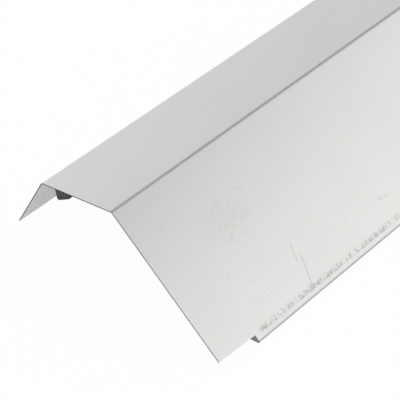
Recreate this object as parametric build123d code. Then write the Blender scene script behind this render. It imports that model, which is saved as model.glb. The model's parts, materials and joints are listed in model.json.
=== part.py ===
from build123d import *
import math
import os

# Driving sizes in millimetres, angles in degrees
length = 2000.0
thickness = 0.8
leg_width = 75.0
top_width = 83.5
fascia_width = 147.0
lip_width = 12.0
leg_angle = 134.5
ridge_angle = 127.0
lip_angle = 52.5
bend_radius = 3.0
fold_radius = 1.7

# The notch in the hem at the near end
notch_length = 38.5
notch_rise_end = 9.8
notch_rise_inside = 8.4

# The sealing strip under the top flange
strip_width = 10.0
strip_depth = 10.0
strip_from_bend = 16.0
strip_end_slant = 4.0
strip_corner = 0.8

os.makedirs("parts", exist_ok=True)


def step(point, angle, distance):
    """The point reached from a point by going a distance at an angle above the X axis."""
    turn = math.radians(angle)
    return (point[0] + distance * math.cos(turn), point[1] + distance * math.sin(turn))


def inset(before, corner, after, distance):
    """The corner of the line that runs parallel to two sides, inside the fold by the distance."""
    first = math.atan2(corner[1] - before[1], corner[0] - before[0])
    second = math.atan2(after[1] - corner[1], after[0] - corner[0])
    half = (second - first) / 2
    middle = (first + second) / 2 - math.pi / 2
    reach = distance / math.cos(half)
    return (corner[0] + reach * math.cos(middle), corner[1] + reach * math.sin(middle))


def beside(point, angle, distance):
    """The point at the distance to the right of a line that leaves the point at the angle."""
    return step(point, angle - 90, distance)


def outline(top_slope):
    """The outer corners of the section and the directions of its four sides, for a slope of the top flange."""
    leg_slope = top_slope + 180 - leg_angle
    fascia_slope = top_slope - 180 + ridge_angle
    lip_slope = fascia_slope - 180 + lip_angle
    leg_foot = (0.0, 0.0)
    leg_bend = step(leg_foot, leg_slope, leg_width)
    ridge = step(leg_bend, top_slope, top_width)
    fold = step(ridge, fascia_slope, fascia_width)
    lip_tip = step(fold, lip_slope, lip_width)
    return [leg_foot, leg_bend, ridge, fold, lip_tip], [leg_slope, top_slope, fascia_slope, lip_slope]


# At rest the leg's inner edge and the lip's tip are on the floor, which sets the top flange's slope
flat_points, flat_slopes = outline(0.0)
leg_contact = beside(flat_points[0], flat_slopes[0], thickness)
lip_contact = flat_points[4]
rest_slope = -math.degrees(math.atan2(lip_contact[1] - leg_contact[1], lip_contact[0] - leg_contact[0]))

outer, slopes = outline(rest_slope)
inner = [beside(outer[0], slopes[0], thickness)]
for index in (1, 2, 3):
    inner.append(inset(outer[index - 1], outer[index], outer[index + 1], thickness))
inner.append(beside(outer[4], slopes[3], thickness))

# The section in the XZ plane, drawn round the sheet's thickness, then its bends rounded
section = make_face(Polyline(*outer, *reversed(inner), close=True))
bends = [
    (outer[1], bend_radius),
    (outer[2], bend_radius),
    (outer[3], fold_radius),
    (inner[1], bend_radius - thickness),
    (inner[2], bend_radius - thickness),
    (inner[3], fold_radius - thickness),
]
for corner, radius in bends:
    nearest = section.vertices().sort_by_distance(Vector(corner[0], corner[1]))[0]
    section = fillet(nearest, radius)

# The section stands in the XZ plane, and the sheet runs from the near end at low Y
sheet = extrude(Plane.XZ * section, amount=length / 2, both=True)

# The notch: the fold and the lip are away over its length, on a line that runs slightly down the fascia flange
near_end = -length / 2
fascia_plane = Plane(
    origin=(outer[3][0], 0, outer[3][1]),
    x_dir=(-math.cos(math.radians(slopes[2])), 0, -math.sin(math.radians(slopes[2]))),
    z_dir=(math.sin(math.radians(slopes[2])), 0, -math.cos(math.radians(slopes[2]))),
)
side = 1 if fascia_plane.y_dir.Y > 0 else -1
notch_outline = Polyline(
    (-5, side * (near_end - 1)),
    (notch_rise_end, side * (near_end - 1)),
    (notch_rise_end, side * near_end),
    (notch_rise_inside, side * (near_end + notch_length)),
    (-5, side * (near_end + notch_length)),
    close=True,
)
notch = extrude(fascia_plane * make_face(notch_outline), amount=20, both=True)
sheet = sheet - notch

# The strip's section hangs from the top flange's underside
strip_start = step(beside(outer[1], slopes[1], thickness), slopes[1], strip_from_bend)
strip_points = [
    strip_start,
    step(strip_start, slopes[1], strip_width),
    step(step(strip_start, slopes[1], strip_width), slopes[1] - 90, strip_depth),
    step(strip_start, slopes[1] - 90, strip_depth),
]
strip_section = make_face(Polyline(*strip_points, close=True))
low_corners = [
    strip_section.vertices().sort_by_distance(Vector(p[0], p[1]))[0]
    for p in strip_points[2:]
]
strip_section = fillet(low_corners, strip_corner)
strip = extrude(Plane.XZ * strip_section, amount=length / 2, both=True)

# The near end of the strip is cut at a slant, so that its side towards the ridge is the shorter one
cutter_points = [
    (0, near_end - 5),
    (0, near_end),
    (strip_width, near_end + strip_end_slant),
    (strip_width + 1, near_end + strip_end_slant),
    (strip_width + 1, near_end - 5),
]
top_plane = Plane(
    origin=(strip_start[0], 0, strip_start[1]),
    x_dir=(math.cos(math.radians(slopes[1])), 0, math.sin(math.radians(slopes[1]))),
    z_dir=(-math.sin(math.radians(slopes[1])), 0, math.cos(math.radians(slopes[1]))),
)
strip = strip - extrude(top_plane * make_face(Polyline(*cutter_points, close=True)), amount=30, both=True)

# The origin goes to the middle of the base of the box round both pieces
box = Compound([sheet, strip]).bounding_box()
move = Pos(-box.center().X, -box.center().Y, -box.min.Z)
export_step(move * sheet, "parts/flashing_sheet.step")
export_step(move * strip, "parts/foam_strip.step")
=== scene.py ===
# %% [markdown]
# Fascia flashing: a length of folded aluminium for the edge of a roof.
# The packed CAD model is the fixed frame. This lesson dresses it: it makes the folded sheet again with
# fine bends, gives the foam strip under it a real foam surface, and lights both as a small studio would.
# Every size is in metres, +Y runs along the length, +Z is up, and the notched end is at the low end of Y.

# %% Load the frame
import json
import math

import bmesh
import bpy
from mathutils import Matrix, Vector, noise


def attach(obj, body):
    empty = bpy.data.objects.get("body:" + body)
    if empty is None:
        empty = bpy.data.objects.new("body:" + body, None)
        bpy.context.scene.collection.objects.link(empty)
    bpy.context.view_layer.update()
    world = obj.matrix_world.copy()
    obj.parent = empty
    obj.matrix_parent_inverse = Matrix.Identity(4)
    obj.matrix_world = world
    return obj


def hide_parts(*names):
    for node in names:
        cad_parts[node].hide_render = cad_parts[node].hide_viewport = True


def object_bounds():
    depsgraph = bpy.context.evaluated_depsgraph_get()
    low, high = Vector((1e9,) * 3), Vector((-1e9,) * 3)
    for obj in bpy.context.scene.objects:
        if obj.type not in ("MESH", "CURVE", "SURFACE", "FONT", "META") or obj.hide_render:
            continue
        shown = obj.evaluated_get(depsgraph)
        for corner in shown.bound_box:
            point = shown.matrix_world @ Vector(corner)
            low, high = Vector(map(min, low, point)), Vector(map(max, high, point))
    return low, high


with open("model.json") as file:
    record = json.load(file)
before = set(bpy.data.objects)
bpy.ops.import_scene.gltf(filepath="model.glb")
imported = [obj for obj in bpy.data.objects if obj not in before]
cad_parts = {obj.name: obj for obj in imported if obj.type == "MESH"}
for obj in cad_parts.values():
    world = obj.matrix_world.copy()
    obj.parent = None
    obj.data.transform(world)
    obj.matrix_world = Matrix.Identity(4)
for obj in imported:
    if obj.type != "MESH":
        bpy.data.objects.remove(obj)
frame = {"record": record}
cad_low, cad_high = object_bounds()
NEAR_END = cad_low.y
FAR_END = cad_high.y
LENGTH = FAR_END - NEAR_END
print("CAD box", [round(v, 4) for v in cad_low], [round(v, 4) for v in cad_high])

# %% [markdown]
# The camera comes first, because every judgement is made through it.
# The photo was taken with a long lens from a little over a metre away, in front of the notched end and
# above it. A camera could be set by eye, but here the vanishing point of the long edges fixes its turn and
# tilt, and the way that the edges close up gives the focal length, so that only its distance is left to
# find. The turn is in degrees to the left of +Y, and the tilt in degrees below level.

# %% The camera
CAMERA_PLACE = Vector((0.5704, -1.4995, 0.8552))
CAMERA_TURN = 43.86
CAMERA_DOWN = 44.86
PHOTO_WIDTH = 400
FOCAL_PIXELS = 1454.9
SENSOR_WIDTH = 36.0
CLIP_NEAR = 0.01
CLIP_FAR = 60.0


def add_object(name, data):
    """An object in the scene that shows the data."""
    made = bpy.data.objects.new(name, data)
    bpy.context.scene.collection.objects.link(made)
    return made


def aim(thing, direction):
    """Turns a camera or a lamp to look in a direction."""
    thing.rotation_mode = "QUATERNION"
    thing.rotation_quaternion = direction.to_track_quat("-Z", "Y")


camera_data = bpy.data.cameras.new("camera")
camera_data.sensor_width = SENSOR_WIDTH
camera_data.lens = SENSOR_WIDTH * FOCAL_PIXELS / PHOTO_WIDTH
camera_data.clip_start = CLIP_NEAR
camera_data.clip_end = CLIP_FAR
camera = add_object("camera", camera_data)
camera.location = CAMERA_PLACE
turn = math.radians(CAMERA_TURN)
down = math.radians(CAMERA_DOWN)
aim(camera, Vector((-math.sin(turn) * math.cos(down), math.cos(turn) * math.cos(down), -math.sin(down))))
bpy.context.scene.camera = camera
print("lens", round(camera_data.lens, 1), "mm")

# %% [markdown]
# Materials and the room are node trees. Drawing them by hand in code is long, so two small classes help.
# The first wraps a socket. Arithmetic on it adds Math nodes, so a mask reads like a formula.

# %% A socket that does arithmetic


class Wire:
    """A socket in a node tree. Arithmetic on it adds Math nodes."""

    def __init__(self, socket):
        self.socket = socket
        self.tree = socket.id_data

    def math(self, operation, first, second):
        """One Math node on two sockets or numbers."""
        return Board(self.tree).node("ShaderNodeMath", {"operation": operation}, {0: first, 1: second})

    def __add__(self, other):
        return self.math("ADD", self, other)

    def __radd__(self, other):
        return self.math("ADD", other, self)

    def __sub__(self, other):
        return self.math("SUBTRACT", self, other)

    def __rsub__(self, other):
        return self.math("SUBTRACT", other, self)

    def __mul__(self, other):
        return self.math("MULTIPLY", self, other)

    def __rmul__(self, other):
        return self.math("MULTIPLY", other, self)

    def __abs__(self):
        return self.math("ABSOLUTE", self, 0.0)


print("a wire takes +, -, * and abs")

# %% [markdown]
# The second class is a board on which nodes are placed. One method adds any node: its settings are set
# first, and then each socket gets a value or a link. The other methods are the few nodes that come up again
# and again: soft steps, bands, colour blends, noise, stretched coordinates, distances and relief.

# %% A board for nodes


class Board:
    """A node tree, with one method that adds any node."""

    def __init__(self, tree):
        self.tree = tree

    def node(self, kind, settings, sockets, output=0):
        """Adds a node: first its settings, then the values or links of its sockets."""
        made = self.tree.nodes.new(kind)
        for name, value in settings.items():
            setattr(made, name, value)
        for name, value in sockets.items():
            if isinstance(value, Wire):
                self.tree.links.new(value.socket, made.inputs[name])
            else:
                made.inputs[name].default_value = value
        return Wire(made.outputs[output]) if made.outputs else made

    def axes(self, vector):
        """The X, the Y and the Z of a vector."""
        split = self.node("ShaderNodeSeparateXYZ", {}, {"Vector": vector}).socket.node
        return [Wire(split.outputs[axis]) for axis in "XYZ"]

    def smooth(self, value, low, high):
        """0 below low, 1 above high, and an S curve between them."""
        settings = {"interpolation_type": "SMOOTHSTEP"}
        sockets = {"Value": value, "From Min": low, "From Max": high, "To Min": 0.0, "To Max": 1.0}
        return self.node("ShaderNodeMapRange", settings, sockets)

    def band(self, value, middle, half, soft):
        """1 within half of the middle, falling to 0 over the soft width outside it."""
        return 1 - self.smooth(abs(value - middle), half, half + soft)

    def blend(self, amount, first, second):
        """Goes from the first colour to the second."""
        return self.node("ShaderNodeMix", {"data_type": "RGBA"}, {0: amount, 6: first, 7: second}, 2)

    def grain(self, vector, scale, detail=2.0, rough=0.5):
        """Soft noise from 0 to 1 round a half."""
        settings = {"noise_dimensions": "3D"}
        sockets = {"Vector": vector, "Scale": scale, "Detail": detail, "Roughness": rough}
        return self.node("ShaderNodeTexNoise", settings, sockets, "Fac")

    def stretch(self, vector, scale):
        """Coordinates scaled by axis. A small scale draws a pattern out along its axis."""
        return self.node("ShaderNodeMapping", {}, {"Vector": vector, "Scale": scale})

    def distance(self, first, second):
        """How far away a place is, from its offsets along two directions."""
        return self.node("ShaderNodeMath", {"operation": "SQRT"}, {0: first * first + second * second})

    def bump(self, strength, distance, height):
        """Fine relief for a shader's Normal."""
        sockets = {"Strength": strength, "Distance": distance, "Height": height}
        return self.node("ShaderNodeBump", {}, sockets)

    def principled(self, sockets):
        """One Principled shader, wired to the material's output."""
        shader = self.node("ShaderNodeBsdfPrincipled", {}, sockets)
        self.node("ShaderNodeOutputMaterial", {}, {"Surface": shader})
        print("nodes in this material", len(self.tree.nodes))


print("a board has", ", ".join(name for name in vars(Board) if not name.startswith("_")))

# %% [markdown]
# Every finish below starts in the same way, with a new material whose board is empty. Blender puts two nodes
# on it by default, and they are cleared, so that the board holds only what this lesson places on it.

# %% A new material


def new_board(name):
    """A material with an empty board."""
    material = bpy.data.materials.new(name)
    material.use_nodes = True
    material.node_tree.nodes.clear()
    return material, Board(material.node_tree)


print("materials already there", [material.name for material in bpy.data.materials])

# %% [markdown]
# The light is a soft studio: pale walls, a darker ceiling, a dim corner at the back on the left, and a dim
# front. Bare metal shows its surroundings, so the room matters more than the lamp. The top flange mirrors
# the left wall, the fascia flange mirrors the right one higher up, and the ridge between them catches the
# ceiling. That is why the ridge shows as a thin dark line. Real walls round the object would do, but one
# gradient over the direction makes the same room and is easier to steer.

# %% The room's tones
ROOM_LEVEL = 5.0
ROOM_RIGHT = 1.67
ROOM_BACK = -0.66
ROOM_UP = -7.28
ROOM_WHITE = 1.08
ROOM_DARK = 0.42
CORNER = (-0.38, 0.92, 0.10)
CORNER_DIM = 0.30
CORNER_EDGE = (0.50, 1.0)
FRONT_DIM = 0.44
FRONT_EDGE = (-0.5, 0.15)

world = bpy.data.worlds.new("studio")
bpy.context.scene.world = world
world.use_nodes = True
world.node_tree.nodes.clear()
room = Board(world.node_tree)
direction = room.node("ShaderNodeTexCoord", {}, {}, "Generated")
toward_right, toward_back, toward_ceiling = room.axes(direction)
level = ROOM_LEVEL + ROOM_RIGHT * toward_right + ROOM_BACK * toward_back + ROOM_UP * toward_ceiling
wall = room.smooth(level, 0.0, 1.0)
corner_sockets = {0: direction, 1: CORNER}
toward_corner = room.node("ShaderNodeVectorMath", {"operation": "DOT_PRODUCT"}, corner_sockets, "Value")
dim = 1 - CORNER_DIM * room.smooth(toward_corner, *CORNER_EDGE)
front = 1 - FRONT_DIM * (1 - room.smooth(toward_back, *FRONT_EDGE))
brightness = (ROOM_DARK + wall * (ROOM_WHITE - ROOM_DARK)) * dim * front
print("room from", ROOM_DARK, "to", ROOM_WHITE, "before its dim corner and front")

# %% [markdown]
# Only what mirrors the room sees that gradient. Matt things get an even light from all sides, at which a
# colour renders about as it is written, and the camera sees plain white behind the object. A Light Path node
# tells the three apart.

# %% Who sees the room
PLAIN_LIGHT = 0.9
WHITE = (1.0, 1.0, 1.0, 1.0)

in_mirror = room.node("ShaderNodeLightPath", {}, {}, "Is Glossy Ray")
in_view = room.node("ShaderNodeLightPath", {}, {}, "Is Camera Ray")
strength = PLAIN_LIGHT + in_mirror * (brightness - PLAIN_LIGHT) + in_view * (1 - PLAIN_LIGHT)
backdrop = room.node("ShaderNodeBackground", {}, {"Color": WHITE, "Strength": strength})
room.node("ShaderNodeOutputWorld", {}, {"Surface": backdrop})
print("nodes in the room", len(room.tree.nodes))

# %% [markdown]
# One lamp hangs high in front, where the metal doesn't mirror it to the photo's camera. It lays a soft
# shadow. A small strong lamp would burn a white spot into the metal in other views, so this one is six
# metres wide and weak, like a ceiling of cloth with lights behind it.

# %% The lamp
LAMP_PLACE = Vector((0.0, -3.4, 5.2))
LAMP_AIM = Vector((0.0, -0.6, 0.05))
LAMP_WIDTH = 6.0
LAMP_POWER = 55.0

lamp_data = bpy.data.lights.new("lamp_above", "AREA")
lamp_data.shape = "SQUARE"
lamp_data.size = LAMP_WIDTH
lamp_data.energy = LAMP_POWER
lamp = add_object("lamp_above", lamp_data)
lamp.location = LAMP_PLACE
aim(lamp, LAMP_AIM - LAMP_PLACE)
print("lamp", LAMP_WIDTH, "m wide,", round((LAMP_AIM - LAMP_PLACE).length, 2), "m away")

# %% [markdown]
# The floor is plain and pale. To the camera nearly all of it is pure white, as in a product photo. The rest
# is an ordinary matt surface, so that the object keeps a faint soft shadow. The leg's inner face mirrors the
# floor, and there the white has a smaller share, because it was the shaded floor that the real one mirrored.

# %% The floor
FLOOR_HALF = 40.0
FLOOR_CELLS = 8
FLOOR_PALE = (0.84, 0.855, 0.89, 1.0)
FLOOR_GLOW = 1.0
FLOOR_SEEN = 0.97
FLOOR_MIRRORED = 0.36

floor_mesh = bpy.data.meshes.new("floor")
floor_shape = bmesh.new()
bmesh.ops.create_grid(floor_shape, x_segments=FLOOR_CELLS, y_segments=FLOOR_CELLS, size=FLOOR_HALF)
floor_shape.to_mesh(floor_mesh)
floor_shape.free()
floor = add_object("floor", floor_mesh)
floor_material, paint = new_board("pale_floor")
seen = paint.node("ShaderNodeLightPath", {}, {}, "Is Camera Ray")
mirrored = paint.node("ShaderNodeLightPath", {}, {}, "Is Glossy Ray")
through = paint.node("ShaderNodeLightPath", {}, {}, "Is Transmission Ray")
shown_white = seen * FLOOR_SEEN + (mirrored + through) * FLOOR_MIRRORED
matt = paint.node("ShaderNodeBsdfDiffuse", {}, {"Color": FLOOR_PALE})
glow = paint.node("ShaderNodeEmission", {}, {"Color": WHITE, "Strength": FLOOR_GLOW})
mixed = paint.node("ShaderNodeMixShader", {}, {0: shown_white, 1: matt, 2: glow})
paint.node("ShaderNodeOutputMaterial", {}, {"Surface": mixed})
floor_mesh.materials.append(floor_material)
print("floor faces", len(floor_mesh.polygons))

# %% [markdown]
# The sheet is one strip of aluminium 0.8 mm thick, folded three times along its length. A press brake bends
# it round a nose of about 2 mm. The bend at the leg is a little wider and the hem at the bottom is tighter.
# It could be a plane with a Solidify modifier, but here the section is worked out exactly, as a line of
# corner points with an arc at each bend, because the bends carry most of what the eye sees: their radius
# sets how wide the dark ridge line is. Angles are in degrees, and the top flange's slope comes from the CAD
# model.

# %% The section's corners
MM = 0.001
THICKNESS = 0.8 * MM
LEG = 75.0 * MM
TOP = 83.5 * MM
FASCIA = 147.0 * MM
LIP = 12.0 * MM
LEG_CORNER = 134.5
RIDGE_CORNER = 127.0
LIP_CORNER = 52.5

top_face = next(mount for mount in frame["record"]["mounts"] if mount["name"] == "top_outer_face")
TOP_SLOPE = math.degrees(math.atan2(-top_face["axis"][0], top_face["axis"][2]))
print("length", round(LENGTH, 4), "top flange slopes", round(TOP_SLOPE, 3), "degrees")


def step(point, angle, distance):
    """The point reached by going a distance at an angle above the X axis, in the plane of the section."""
    across = math.radians(angle)
    return Vector((point[0] + distance * math.cos(across), point[1] + distance * math.sin(across)))


leg_slope = TOP_SLOPE + 180 - LEG_CORNER
fascia_slope = TOP_SLOPE - 180 + RIDGE_CORNER
lip_slope = fascia_slope - 180 + LIP_CORNER
slopes = [leg_slope, TOP_SLOPE, fascia_slope, lip_slope]
corners = [Vector((0.0, 0.0))]
for slope, width in zip(slopes, (LEG, TOP, FASCIA, LIP)):
    corners.append(step(corners[-1], slope, width))
lowest = min(corners[4].y, step(corners[0], leg_slope - 90, THICKNESS).y)
shift = Vector((cad_low.x, -lowest))
corners = [corner + shift for corner in corners]
print("corners in mm", [(round(c.x / MM, 2), round(c.y / MM, 2)) for c in corners])

# %% [markdown]
# A column is one line along the sheet: a point on its outer face, and the point straight through the sheet
# on its inner face. A flange has a column close beside each bend, so that smooth shading stays on the bend.
# The wide fascia flange also has a few across its width, and one at the notch's edge.

# %% The section's columns
LEG_RADIUS = 4.5 * MM
RIDGE_RADIUS = 3.0 * MM
FOLD_RADIUS = 1.7 * MM
ARC_STEPS = 10
SUPPORT = 0.4 * MM
FASCIA_SHARES = (0.25, 0.5, 0.75)
NOTCH_RISE_INSIDE = 8.4 * MM


def column(point, slope):
    """A point on the outer face and the one through the sheet, for a face that runs at the slope."""
    return (point, step(point, slope - 90, THICKNESS))


def bend(corner, before, after, radius):
    """The columns round one bend, whose faces run at the slopes before and after it."""
    half = (before - after) / 2
    reach = radius * math.tan(math.radians(half))
    centre = step(step(corner, before + 180, reach), before - 90, radius)
    found = []
    for part in range(ARC_STEPS + 1):
        slope = before + (after - before) * part / ARC_STEPS
        found.append(column(step(centre, slope + 90, radius), slope))
    return found, reach


columns = [column(corners[0], leg_slope)]
bend_columns = []
for number, radius in ((1, LEG_RADIUS), (2, RIDGE_RADIUS), (3, FOLD_RADIUS)):
    before, after = slopes[number - 1], slopes[number]
    arc, reach = bend(corners[number], before, after, radius)
    if number == 3:
        notch_column = len(columns)
        columns.append(column(step(corners[3], fascia_slope + 180, NOTCH_RISE_INSIDE), fascia_slope))
    columns.append(column(step(corners[number], before + 180, reach + SUPPORT), before))
    bend_columns.append(len(columns) + ARC_STEPS // 2)
    columns.extend(arc)
    columns.append(column(step(corners[number], after, reach + SUPPORT), after))
    if number == 2:
        for share in FASCIA_SHARES:
            columns.append(column(step(corners[2], fascia_slope, FASCIA * share), fascia_slope))
columns.append(column(corners[4], lip_slope))
print("columns", len(columns), "notch column", notch_column)

# %% [markdown]
# The rows are the stations along the length. They are close together beside the notch and wider apart beyond
# it. In the notch the sheet ends at a line that runs from 9.8 mm to 8.4 mm above the fold's corner, so there
# the last column is moved and the ones after it are left out. A Boolean could cut the notch, but it would
# leave slivers along the bend.

# %% The sheet's rows
NOTCH_LENGTH = 38.5 * MM
NOTCH_RISE_END = 9.8 * MM
NOTCH_STEPS = 4
ROW_STEP = 20.0 * MM
LONGEST_ROW = 1.5 * ROW_STEP

rows = [NEAR_END + NOTCH_LENGTH * part / NOTCH_STEPS for part in range(NOTCH_STEPS + 1)]
while rows[-1] + LONGEST_ROW < FAR_END:
    rows.append(rows[-1] + ROW_STEP)
rows.append(FAR_END)


def columns_in(row):
    """How many columns a row has."""
    return len(columns) if row >= NOTCH_STEPS else notch_column + 1


def sheet_point(index, row, side):
    """The place of one corner of the sheet's mesh. Side 0 is the outer face and side 1 the inner one."""
    point = columns[index][side]
    if index == notch_column and row < NOTCH_STEPS:
        rise = NOTCH_RISE_END + (NOTCH_RISE_INSIDE - NOTCH_RISE_END) * row / NOTCH_STEPS
        point = column(step(corners[3], fascia_slope + 180, rise), fascia_slope)[side]
    return Vector((point.x, rows[row], point.y))


print("rows", len(rows), "columns in the notch", columns_in(0), "and beyond it", columns_in(NOTCH_STEPS))

# %% [markdown]
# The mesh is one closed skin: outer face, inner face and the cut edges round them. Each face gets its
# material by number here, because its place in the section says what it is: the bare sheet, a cut edge or
# the inside of the hem, whose material is painted shade.

# %% The sheet's points and faces
BARE = 0
CUT = 1
# The inside of the hem gets its own material, whose darker colour is painted shade.
SHADED_HEM = 2

sheet_shape = bmesh.new()
at = {}
for row in range(len(rows)):
    for index in range(columns_in(row)):
        for side in (0, 1):
            at[index, row, side] = sheet_shape.verts.new(sheet_point(index, row, side))


def face(keys, material):
    """One face through the named corners, turned the way they run."""
    made = sheet_shape.faces.new([at[key] for key in keys])
    made.material_index = material
    made.smooth = material != CUT


for row in range(len(rows) - 1):
    end = columns_in(row) - 1
    for index in range(end):
        face([(index, row, 0), (index, row + 1, 0), (index + 1, row + 1, 0), (index + 1, row, 0)], BARE)
        inner = SHADED_HEM if index >= notch_column else BARE
        face([(index, row, 1), (index + 1, row, 1), (index + 1, row + 1, 1), (index, row + 1, 1)], inner)
    face([(0, row, 0), (0, row, 1), (0, row + 1, 1), (0, row + 1, 0)], CUT)
    face([(end, row, 1), (end, row, 0), (end, row + 1, 0), (end, row + 1, 1)], CUT)
for row, first, last, turned in (
    (0, 0, notch_column, False),
    (NOTCH_STEPS, notch_column, len(columns) - 1, False),
    (len(rows) - 1, 0, len(columns) - 1, True),
):
    for index in range(first, last):
        keys = [(index, row, 0), (index + 1, row, 0), (index + 1, row, 1), (index, row, 1)]
        face(keys[::-1] if turned else keys, CUT)
print("points", len(sheet_shape.verts), "faces", len(sheet_shape.faces))

# %% [markdown]
# The skin becomes an object that stands for the CAD sheet. Edges between two materials stay sharp, so that
# smooth shading doesn't run round a cut edge. A closed skin has no open edge, and the count shows that.

# %% The folded sheet
bmesh.ops.recalc_face_normals(sheet_shape, faces=sheet_shape.faces)
open_edges = sum(1 for edge in sheet_shape.edges if not edge.is_manifold)
for edge in sheet_shape.edges:
    edge.smooth = len({f.material_index for f in edge.link_faces}) == 1
sheet_mesh = bpy.data.meshes.new("folded_sheet")
sheet_shape.to_mesh(sheet_mesh)
sheet_shape.free()
sheet = add_object("folded_sheet", sheet_mesh)
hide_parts("flashing_sheet")
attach(sheet, "root")
print("sheet faces", len(sheet_mesh.polygons), "open edges", open_edges)

# %% [markdown]
# Mill-finish aluminium is bare metal from the rolling mill: pale, a little warm, and dull rather than mirror
# bright. Metallic is 1, the colour is aluminium's own reflectance, and the roughness is what spreads the
# room into soft tones. A few coordinates make its marks easy to place: how far down the fascia flange a
# place is, how far across the top flange, how far above the outer face of each, and how far from the notched
# end. They are worked out from the object's own coordinates, in millimetres, so every mark has a real place.

# %% The aluminium's coordinates
PER_MM = 1 / MM
OUTER_FACE = (-0.6, -0.2)
BEYOND_RIDGE = (2.0, 4.0)

metal_material, metal = new_board("mill_aluminium")
place = metal.node("ShaderNodeTexCoord", {}, {}, "Object")
place_x, place_y, place_z = metal.axes(place)


def offsets(point):
    """How far a place is from a point of the section, along X and Z, in millimetres."""
    return (place_x - point.x) * PER_MM, (place_z - point.y) * PER_MM


def over_flange(corner, slope):
    """How far a place is along a flange from its corner, and how far above its outer face."""
    run = math.cos(math.radians(slope))
    rise = math.sin(math.radians(slope))
    offset_x, offset_z = offsets(corner)
    return offset_x * run + offset_z * rise, offset_z * run - offset_x * rise


down_fascia, above_fascia = over_flange(corners[2], fascia_slope)
across_top, above_top = over_flange(corners[1], TOP_SLOPE)
from_end = (place_y - NEAR_END) * PER_MM
on_fascia = metal.smooth(above_fascia, *OUTER_FACE) * metal.smooth(down_fascia, *BEYOND_RIDGE)
on_top = metal.smooth(above_top, *OUTER_FACE)
flat_place = metal.node("ShaderNodeCombineXYZ", {}, {"X": down_fascia, "Y": from_end, "Z": 0.0})
print("nodes for the coordinates", len(metal.tree.nodes))

# %% [markdown]
# The rolls leave very faint lines along the length: noise that is squeezed across the sheet and stretched
# along it. Handling leaves dull clouds: soft noise a few centimetres wide. Both change the tone by only a
# percent or two.

# %% Rolling lines and clouds
ROLLED_OUT = (1.0, 0.02, 1.0)
LINE_SCALE = 1000.0
WIDE_LINE_SCALE = 60.0
CLOUD_SCALE = 14.0
FINE_SCALE = 900.0

rolled_place = metal.stretch(place, ROLLED_OUT)
lines = metal.grain(rolled_place, LINE_SCALE, rough=0.6)
wide_lines = metal.grain(rolled_place, WIDE_LINE_SCALE)
clouds = metal.grain(place, CLOUD_SCALE, detail=3.0)
fine = metal.grain(place, FINE_SCALE)
print("lines", round(1 / (LINE_SCALE * MM), 2), "mm wide, clouds", round(1 / (CLOUD_SCALE * MM)), "mm wide")

# %% [markdown]
# Where the sheet is bent its outer face is stretched. The grain opens and turns dull and darker, in a line
# as wide as the bend. It is easy to find: it is what lies within a few millimetres of the bend's own line.
# At the hem's fold the band is much darker than that, and the extra darkness is painted shade. Along each
# cut end a band of painted shade a few tenths of a millimetre wide makes the dark line of the cut look a
# little wider than the sheet is thick. That band is found by the distance to the end.

# %% Stretched metal at the bends, painted shade at the fold and the cut ends
LEG_LINE = (0, 0.5, 1.4)
RIDGE_LINE = (1, 1.1, 2.2)
# The band at the fold and the band at the cut ends are painted shade.
FOLD_SHADE_LINE = (2, 1.6, 0.5)
CUT_SHADE_BAND = (0.15, 0.45)


def bend_mask(number, half, soft):
    """1 along one bend of the sheet, by its number, half its width and how softly it ends."""
    away = metal.distance(*offsets(columns[bend_columns[number]][0]))
    return 1 - metal.smooth(away, half, half + soft)


leg_mask = bend_mask(*LEG_LINE)
ridge_mask = bend_mask(*RIDGE_LINE)
fold_shade_mask = bend_mask(*FOLD_SHADE_LINE)
from_cut = LENGTH / 2 * PER_MM - abs(place_y * PER_MM)
cut_shade_mask = 1 - metal.smooth(from_cut, *CUT_SHADE_BAND)
print("ridge line", 2 * RIDGE_LINE[1], "mm wide, cut band", CUT_SHADE_BAND[1], "mm wide")

# %% [markdown]
# Along the fascia flange runs a row of small dark scuffs, about a centimetre above the fold. They could
# be painted on an image, but soft noise does it and runs on to the far end. It is kept in a narrow band with
# a sharp lower edge and a ragged upper one, and a second noise moves the places at which the first one is
# read, so that no two scuffs have the same form. All these edges are in millimetres down the flange, and the
# start is in millimetres from the notched end.

# %% Scuffs along the fold
SCUFF_LINE = 138.0
SCUFF_START = (43.0, 45.0)
SCUFF_TOP = (SCUFF_LINE - 2.0, SCUFF_LINE + 1.8)
SCUFF_BOTTOM = (SCUFF_LINE + 1.7, SCUFF_LINE + 2.5)
SCUFF_DARKER = (SCUFF_LINE, SCUFF_LINE + 1.4)
SCUFF_RAGGED = 4.0
UNEVEN_SCALE = 0.45
UNEVEN_DOWN = 2.0
UNEVEN_ALONG = 2.4
FLECK_SCALES = (0.19, 0.31, 1.0)
FLECK_EDGE = (0.42, 0.64)
FLECK_SHARE = 0.90
DARKER_SHARE = 0.20
PLAIN_SHARE = 0.03

uneven = metal.grain(flat_place, UNEVEN_SCALE, rough=0.6)
moved = {"X": uneven * UNEVEN_DOWN, "Y": uneven * UNEVEN_ALONG, "Z": 0.0}
uneven_move = metal.node("ShaderNodeCombineXYZ", {}, moved)
uneven_place = metal.node("ShaderNodeVectorMath", {"operation": "ADD"}, {0: flat_place, 1: uneven_move})
flecks = metal.smooth(metal.grain(metal.stretch(uneven_place, FLECK_SCALES), 1.0), *FLECK_EDGE)
scuff_top = metal.smooth(down_fascia + uneven * SCUFF_RAGGED, *SCUFF_TOP)
scuff_band = scuff_top * (1 - metal.smooth(down_fascia, *SCUFF_BOTTOM))
scuffed = scuff_band * metal.smooth(from_end, *SCUFF_START) * on_fascia
darker = metal.smooth(down_fascia, *SCUFF_DARKER)
scuffs = (flecks * FLECK_SHARE + darker * DARKER_SHARE + PLAIN_SHARE) * scuffed
print("scuffs", round(FASCIA / MM - SCUFF_LINE, 1), "mm above the fold, from", SCUFF_START[0], "mm on")

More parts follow.
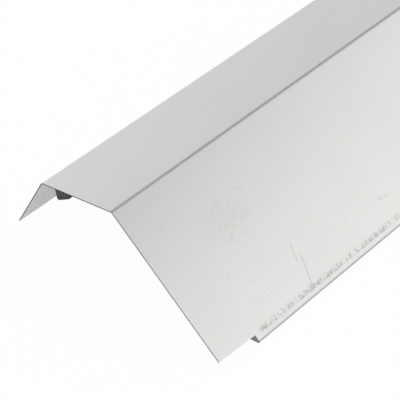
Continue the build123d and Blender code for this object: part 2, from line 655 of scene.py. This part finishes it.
# %% [markdown]
# Handling leaves scratches: a long curved one with a short one beside it, a faint one higher up, and two
# dark spots that are strokes a few millimetres long. A stroke is a band round a curve from one place to
# another that fades at its ends. Each row below gives its weight, the places at which it starts and ends
# (down the fascia flange, from the notched end), its bow and half its width.

# %% Scratches
STROKES = (
    (1.0, (111.0, 113.9), (138.5, 104.9), 0.8, 0.6),
    (0.8, (99.5, 112.7), (115.5, 107.8), -0.3, 0.6),
    (0.5, (38.4, 92.6), (43.9, 106.1), 1.0, 1.0),
    (0.9, (115.2, 207.0), (119.8, 208.6), 0.2, 0.8),
    (0.8, (116.6, 213.2), (119.4, 214.4), 0.2, 1.1),
)
STROKE_IN = (0.0, 0.08)
STROKE_OUT = (0.94, 1.0)


def stroke(run, across, start, finish, bow, half):
    """A thin line from one (run, across) place to another. Its middle stands off by the bow."""
    share = (run - start[0]) * (1 / (finish[0] - start[0]))
    curve = start[1] + share * (finish[1] - start[1]) + share * (1 - share) * (4 * bow)
    ends = metal.smooth(share, *STROKE_IN) * (1 - metal.smooth(share, *STROKE_OUT))
    return metal.band(across, curve, half, half) * ends


def added_up(masks):
    """The sum of some masks."""
    return sum(masks[1:], masks[0])


drawn = [weight * stroke(down_fascia, from_end, *form) for weight, *form in STROKES]
scratches = added_up(drawn) * on_fascia
print("strokes", len(drawn))

# %% [markdown]
# Sheets rub against each other in a stack. Along the top flange the photo shows a streak so faint that it is
# easily missed. It fades out and starts again further on, so it is two strokes, each from one place to
# another (from the notched end, across the top flange).

# %% The streak on the top flange
NEAR_STREAK = ((45.0, 44.0), (250.0, 39.6), -1.5, 1.0)
NEAR_STREAK_IN = (35.0, 95.0)
NEAR_STREAK_OUT = (170.0, 260.0)
FAR_STREAK = ((285.0, 30.6), (395.0, 25.0), 0.0, 1.0)
FAR_STREAK_WEIGHT = 0.7

fading = metal.smooth(from_end, *NEAR_STREAK_IN) * (1 - metal.smooth(from_end, *NEAR_STREAK_OUT))
near_streak = stroke(from_end, across_top, *NEAR_STREAK) * fading
far_streak = stroke(from_end, across_top, *FAR_STREAK) * FAR_STREAK_WEIGHT
streaks = (near_streak + far_streak) * on_top
print("streak from", NEAR_STREAK[0][0], "to", FAR_STREAK[1][0], "mm from the notched end")

# %% [markdown]
# Drops of water dry and leave faint rings, dark at the rim and broken in places. Each row below gives a
# ring's place (down the fascia flange, from the notched end), its radius and half the width of its line. A
# noise pushes the rim in and out, because a drop on metal is never quite round.

# %% Rings from drops
RINGS = (
    (118.9, 70.1, 2.6, 0.5),
    (89.7, 50.1, 0.8, 0.9),
    (104.4, 64.5, 2.4, 0.6),
    (117.2, 56.9, 1.8, 0.6),
    (119.9, 62.5, 1.6, 0.6),
    (31.7, 27.0, 0.5, 0.7),
    (115.4, 155.3, 2.2, 0.6),
    (116.3, 164.4, 1.8, 0.6),
)
WOBBLE_SCALE = 0.16
RING_WOBBLE = 5.0
RING_BREAKS = (0.38, 0.62)

wobble = metal.grain(flat_place, WOBBLE_SCALE, rough=0.6)


def drop_ring(down_place, along_place, radius, width):
    """The faint edge that a dried drop leaves."""
    away = metal.distance(down_fascia - down_place, from_end - along_place)
    return metal.band(away + (wobble - 0.5) * RING_WOBBLE, radius, width, width)


rings = added_up([drop_ring(*form) for form in RINGS]) * on_fascia * metal.smooth(uneven, *RING_BREAKS)
print("rings", len(RINGS))

# %% [markdown]
# One smudge, where a hand or a glove took hold, is a soft oval with the same noise in it as the rings have.

# %% The smudge
SMUDGE_DOWN = 57.0
SMUDGE_ALONG = 78.0
SMUDGE_HALF_DOWN = 22.0
SMUDGE_HALF_ALONG = 28.0
SMUDGE_EDGE = (0.2, 1.0)
SMUDGE_PATCHES = (0.44, 0.62)
SMUDGE_LEAST = 0.25

smudge_down = (down_fascia - SMUDGE_DOWN) * (1 / SMUDGE_HALF_DOWN)
smudge_along = (from_end - SMUDGE_ALONG) * (1 / SMUDGE_HALF_ALONG)
oval = 1 - metal.smooth(smudge_down * smudge_down + smudge_along * smudge_along, *SMUDGE_EDGE)
patchy = SMUDGE_LEAST + (1 - SMUDGE_LEAST) * metal.smooth(wobble, *SMUDGE_PATCHES)
smudge = oval * patchy * on_fascia
print("smudge", 2 * SMUDGE_HALF_DOWN, "x", 2 * SMUDGE_HALF_ALONG, "mm")

# %% [markdown]
# The tone is built up in layers: the rolled metal first, then what the press brake and handling did to it,
# and painted shade at the hem's fold and along the cut ends. Each layer has a share, a mask and a tone, and
# goes over the ones before.

# %% The aluminium's tone
ALUMINIUM = (0.816, 0.816, 0.799, 1.0)
ROLLED = (0.62, 0.62, 0.61, 1.0)
STRETCHED = (0.52, 0.52, 0.52, 1.0)
# The tone of the painted shade at the hem's fold and along the cut ends.
PAINTED_SHADE_TONE = (0.22, 0.22, 0.22, 1.0)
SCUFFED = (0.40, 0.39, 0.38, 1.0)
LINE_SHARE = 0.05
WIDE_LINE_SHARE = 0.06
CLOUD_SHARE = 0.05
CUT_SHADE_SHARE = 0.40
CUT_SHADE_SHARE_FASCIA = 0.5

layers = (
    (0.06, ridge_mask, STRETCHED),
    (0.25, leg_mask, STRETCHED),
    # Painted shade along the hem's fold.
    (0.54, fold_shade_mask, PAINTED_SHADE_TONE),
    (0.49, scuffs, SCUFFED),
    (0.10, smudge, SCUFFED),
    # Painted shade along each cut end, stronger on the fascia flange.
    (CUT_SHADE_SHARE + CUT_SHADE_SHARE_FASCIA * on_fascia, cut_shade_mask, PAINTED_SHADE_TONE),
    (0.27, scratches, SCUFFED),
    (0.10, rings, SCUFFED),
    (0.045, streaks, SCUFFED),
)
uneven_rolling = LINE_SHARE * lines + WIDE_LINE_SHARE * wide_lines + CLOUD_SHARE * clouds
shade = metal.blend(uneven_rolling, ALUMINIUM, ROLLED)
for share, mask, tone in layers:
    shade = metal.blend(share * mask, shade, tone)
print("layers", len(layers))

# %% [markdown]
# The roughness and the fine relief follow the same masks: a bend and a scuff are duller than the plain
# metal, and a scratch is a groove. The relief is a bump, because at a few hundredths of a millimetre it is
# far too fine for the mesh.

# %% The aluminium
METAL_ROUGHNESS = 0.27
LINE_ROUGHNESS = 0.03
CLOUD_ROUGHNESS = 0.06
RIDGE_ROUGHNESS = 0.10
SCUFF_ROUGHNESS = 0.15
LINE_RELIEF = 0.15
FINE_RELIEF = 0.12
SCRATCH_RELIEF = -0.5
METAL_BUMP = 0.045
METAL_BUMP_HEIGHT = 0.05 * MM

dullness = METAL_ROUGHNESS + LINE_ROUGHNESS * (lines - 0.5) + CLOUD_ROUGHNESS * (clouds - 0.5)
dullness = dullness + RIDGE_ROUGHNESS * ridge_mask + SCUFF_ROUGHNESS * scuffs
relief = lines * LINE_RELIEF + fine * FINE_RELIEF + scratches * SCRATCH_RELIEF
bump = metal.bump(METAL_BUMP, METAL_BUMP_HEIGHT, relief)
metal.principled({"Base Color": shade, "Metallic": 1.0, "Roughness": dullness, "Normal": bump})
sheet_mesh.materials.append(metal_material)

# %% [markdown]
# The cut edges were sheared. Part of the thickness is cut bright and the rest is torn, so an edge is a
# little darker and rougher than the face. The rest of its near-black colour is painted shade, which draws
# every cut edge as a thin dark grey line. Noise finer than the sheet's thickness stands for the tear.

# %% The sheared edges, in painted shade
# Both tones are near black: the torn metal's own darkening together with painted shade on the cut edge.
EDGE_TORN_AND_SHADED = (0.04, 0.04, 0.04, 1.0)
EDGE_CUT_AND_SHADED = (0.12, 0.12, 0.118, 1.0)
TEAR_SCALE = 1500.0
EDGE_ROUGHNESS = 0.5
TEAR_ROUGHNESS = 0.15
EDGE_BUMP = 0.3
EDGE_BUMP_HEIGHT = 0.2 * MM

shaded_edge_material, edge_board = new_board("sheared_edge_painted_shade")
edge_place = edge_board.node("ShaderNodeTexCoord", {}, {}, "Object")
torn = edge_board.grain(edge_place, TEAR_SCALE, 3.0, 0.6)
edge_tone_and_shade = edge_board.blend(torn, EDGE_TORN_AND_SHADED, EDGE_CUT_AND_SHADED)
edge_dullness = EDGE_ROUGHNESS + TEAR_ROUGHNESS * torn
edge_bump = edge_board.bump(EDGE_BUMP, EDGE_BUMP_HEIGHT, torn)
edge_board.principled(
    {"Base Color": edge_tone_and_shade, "Metallic": 1.0, "Roughness": edge_dullness, "Normal": edge_bump}
)
sheet_mesh.materials.append(shaded_edge_material)

# %% [markdown]
# Inside the hem the same metal is duller, and its darker colour is painted shade for the hollow of the fold,
# where little light reaches. It has the sheet's fine lines, and slightly lighter and darker patches along
# the hem.

# %% The inside of the hem, in painted shade
# Both tones are darker than the bare metal: painted shade inside the fold.
HEM_SHADE_LIGHTER = (0.71, 0.71, 0.70, 1.0)
HEM_SHADE_DARKER = (0.60, 0.60, 0.595, 1.0)
HEM_ROLLED_OUT = (1.0, 0.2, 1.0)
HEM_PATCH_SCALE = 160.0
HEM_GRAIN_SCALE = 1400.0
HEM_ROUGHNESS = 0.40
HEM_PATCH_ROUGHNESS = 0.10
HEM_BUMP = 0.1
HEM_BUMP_HEIGHT = 0.05 * MM

hem_shade_material, hem_shade_board = new_board("hem_inside_painted_shade")
hem_place = hem_shade_board.node("ShaderNodeTexCoord", {}, {}, "Object")
hem_along = hem_shade_board.stretch(hem_place, HEM_ROLLED_OUT)
hem_patches = hem_shade_board.grain(hem_along, HEM_PATCH_SCALE, 3.0, 0.6)
hem_painted_shade = hem_shade_board.blend(hem_patches, HEM_SHADE_LIGHTER, HEM_SHADE_DARKER)
hem_dullness = HEM_ROUGHNESS + HEM_PATCH_ROUGHNESS * hem_patches
hem_bump = hem_shade_board.bump(HEM_BUMP, HEM_BUMP_HEIGHT, hem_shade_board.grain(hem_along, HEM_GRAIN_SCALE))
hem_shade_board.principled(
    {"Base Color": hem_painted_shade, "Metallic": 1.0, "Roughness": hem_dullness, "Normal": hem_bump}
)
sheet_mesh.materials.append(hem_shade_material)

# %% [markdown]
# The sealing strip is a soft closed-cell foam with glue on one side. Its lower edges are worn round, and a
# knife cut its near end at a slant. It bulges a little to one side and sags there. A box with a bump map
# would keep a ruler-straight outline, so the strip is a fine grid wrapped round the section. Its form is one
# function, which turns shares of its width and depth into a place.

# %% The strip's form
STRIP_WIDTH = 10.0 * MM
STRIP_DEPTH = 10.0 * MM
STRIP_FROM_BEND = 16.0 * MM
STRIP_SLANT = 4.0 * MM
SLANT_REACH = 20.0 * MM
STRIP_CORNER = 2.0 * MM
STRIP_BULGE = 1.6 * MM
STRIP_SAG = 0.5 * MM

strip_start = step(step(corners[1], TOP_SLOPE - 90, THICKNESS), TOP_SLOPE, STRIP_FROM_BEND)
strip_across = step((0.0, 0.0), TOP_SLOPE, 1.0)
strip_down = step((0.0, 0.0), TOP_SLOPE - 90, 1.0)


def strip_point(across, deep, along):
    """A place in the strip, from shares of its width and depth and a distance from its near end."""
    corner_share = STRIP_CORNER / STRIP_DEPTH
    lower = max(0.0, deep - 1 + corner_share) / corner_share
    tuck = STRIP_CORNER * (1 - math.sqrt(max(0.0, 1 - lower * lower)))
    bulge = STRIP_BULGE * deep
    wide = tuck - bulge + across * (STRIP_WIDTH + bulge - 2 * tuck)
    low = deep * (STRIP_DEPTH + STRIP_SAG * (1 - across))
    point = strip_start + strip_across * wide + strip_down * low
    slant = STRIP_SLANT * across * max(0.0, 1 - along / SLANT_REACH)
    return Vector((point.x, NEAR_END + along + slant, point.y))


tip = strip_point(1.0, 1.0, 0.0)
print("the cut reaches", round((tip.y - NEAR_END) / MM, 1), "mm in at the strip's far side")

# %% [markdown]
# A ring of points goes once round the section. Copies of it along the length are joined into the strip's
# four sides, and a grid with the same points on its border closes each end.

# %% The strip's skin
STRIP_CELLS = 12
STRIP_ROW = 2.5 * MM

ring = []
for first, way in (((0, 0), (1, 0)), ((1, 0), (0, 1)), ((1, 1), (-1, 0)), ((0, 1), (0, -1))):
    for number in range(STRIP_CELLS):
        share = number / STRIP_CELLS
        ring.append((first[0] + way[0] * share, first[1] + way[1] * share))

strip_shape = bmesh.new()
stations = int(LENGTH / STRIP_ROW)
loops = []
for row in range(stations + 1):
    loops.append([strip_shape.verts.new(strip_point(a, d, LENGTH * row / stations)) for a, d in ring])
for here, beyond in zip(loops, loops[1:]):
    for number in range(len(ring)):
        after = (number + 1) % len(ring)
        strip_shape.faces.new([here[number], here[after], beyond[after], beyond[number]])


def close_end(loop, along):
    """A grid of faces inside the strip's first or last ring."""
    grid = {}
    for (a, d), vert in zip(ring, loop):
        grid[round(a * STRIP_CELLS), round(d * STRIP_CELLS)] = vert
    for i in range(STRIP_CELLS + 1):
        for j in range(STRIP_CELLS + 1):
            if (i, j) not in grid:
                grid[i, j] = strip_shape.verts.new(strip_point(i / STRIP_CELLS, j / STRIP_CELLS, along))
    for i in range(STRIP_CELLS):
        for j in range(STRIP_CELLS):
            strip_shape.faces.new([grid[i, j], grid[i + 1, j], grid[i + 1, j + 1], grid[i, j + 1]])


close_end(loops[0], 0.0)
close_end(loops[-1], LENGTH)
print("rings", len(loops), "of", len(ring), "points, faces", len(strip_shape.faces))

# %% [markdown]
# Cut foam is grainy, so two noises, one coarse and one fine, push the points about, mostly inwards, and a
# slow wave along the length keeps the strip from looking ruled. The glued face stays flat against the sheet,
# so the moves start from nothing there. Each move follows the plain form's normal.

# %% The foam's grain
GRAIN_DEPTH = 0.22 * MM
GRAIN_INSET = 1.0
COARSE_SCALE = 520.0
FINER_SCALE = 1100.0
FINER_SHARE = 0.7
WAVE_DEPTH = 0.25 * MM
WAVE_INSET = 0.6
WAVE_SCALE = 22.0
WAVE_SLICE = 3.0
GLUED_DEPTH = 1.5 * MM

bmesh.ops.recalc_face_normals(strip_shape, faces=strip_shape.faces)
strip_shape.normal_update()
moves = []
for vert in strip_shape.verts:
    depth = (Vector((vert.co.x, vert.co.z)) - strip_start).dot(strip_down)
    free = min(1.0, depth / GLUED_DEPTH)
    rough = noise.noise(vert.co * COARSE_SCALE) + FINER_SHARE * noise.noise(vert.co * FINER_SCALE)
    wave = noise.noise(Vector((0.0, vert.co.y * WAVE_SCALE, WAVE_SLICE)))
    inward = GRAIN_DEPTH * (rough - GRAIN_INSET) + WAVE_DEPTH * (wave - WAVE_INSET)
    moves.append((vert, vert.normal * inward * free))
for vert, move in moves:
    vert.co += move
print("furthest move", round(max(move.length for vert, move in moves) / MM, 2), "mm")

# %% [markdown]
# The strip becomes an object that stands for the CAD foam.

for made in strip_shape.faces:
    made.smooth = True
strip_open = sum(1 for edge in strip_shape.edges if not edge.is_manifold)
strip_mesh = bpy.data.meshes.new("sealing_strip")
strip_shape.to_mesh(strip_mesh)
strip_shape.free()
strip = add_object("sealing_strip", strip_mesh)
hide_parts("foam_strip")
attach(strip, "root")
print("strip faces", len(strip_mesh.polygons), "open edges", strip_open)

# %% [markdown]
# Foam has no shine. Its tone is nearly black with a grey fleck where a cell wall catches light, and a noise
# at the size of the cells, somewhat under a millimetre, roughens it further. Voronoi cells stand for the
# foam's own, and the distance to their edges makes the walls.

# %% The foam
FOAM_DARK = (0.048, 0.048, 0.048, 1.0)
FOAM_LIGHT = (0.178, 0.178, 0.178, 1.0)
CELL_SCALE = 1500.0
CELL_WALL = (0.0, 0.25)
SPECKLE_SCALE = 1300.0
SPECKLE_EDGE = (0.35, 0.75)
SPECKLE_SHARE = 0.8
PATCH_SCALE = 160.0
PATCH_SHARE = 0.25
CELL_RELIEF = -1.0
SPECKLE_RELIEF = 1.5
FOAM_BUMP = 0.9
FOAM_BUMP_HEIGHT = 0.4 * MM
FOAM_ROUGHNESS = 0.85
SPECKLE_ROUGHNESS = 0.12
FOAM_SPECULAR = 0.3

foam_material, foam = new_board("sealing_foam")
foam_place = foam.node("ShaderNodeTexCoord", {}, {}, "Object")
cell_settings = {"voronoi_dimensions": "3D", "feature": "DISTANCE_TO_EDGE"}
cell_sockets = {"Vector": foam_place, "Scale": CELL_SCALE}
cell_walls = foam.node("ShaderNodeTexVoronoi", cell_settings, cell_sockets, "Distance")
speckle = foam.grain(foam_place, SPECKLE_SCALE, 3.0, 0.7)
patches = foam.grain(foam_place, PATCH_SCALE)
foam_tone = foam.smooth(speckle, *SPECKLE_EDGE) * SPECKLE_SHARE + patches * PATCH_SHARE
foam_relief = foam.smooth(cell_walls, *CELL_WALL) * CELL_RELIEF + speckle * SPECKLE_RELIEF
foam.principled(
    {
        "Base Color": foam.blend(foam_tone, FOAM_DARK, FOAM_LIGHT),
        "Roughness": FOAM_ROUGHNESS + SPECKLE_ROUGHNESS * speckle,
        "Normal": foam.bump(FOAM_BUMP, FOAM_BUMP_HEIGHT, foam_relief),
        "Specular IOR Level": FOAM_SPECULAR,
    }
)
strip_mesh.materials.append(foam_material)

# %% [markdown]
# The last step keeps the view plain.

# %% Finish
bpy.context.scene.view_settings.view_transform = "Standard"
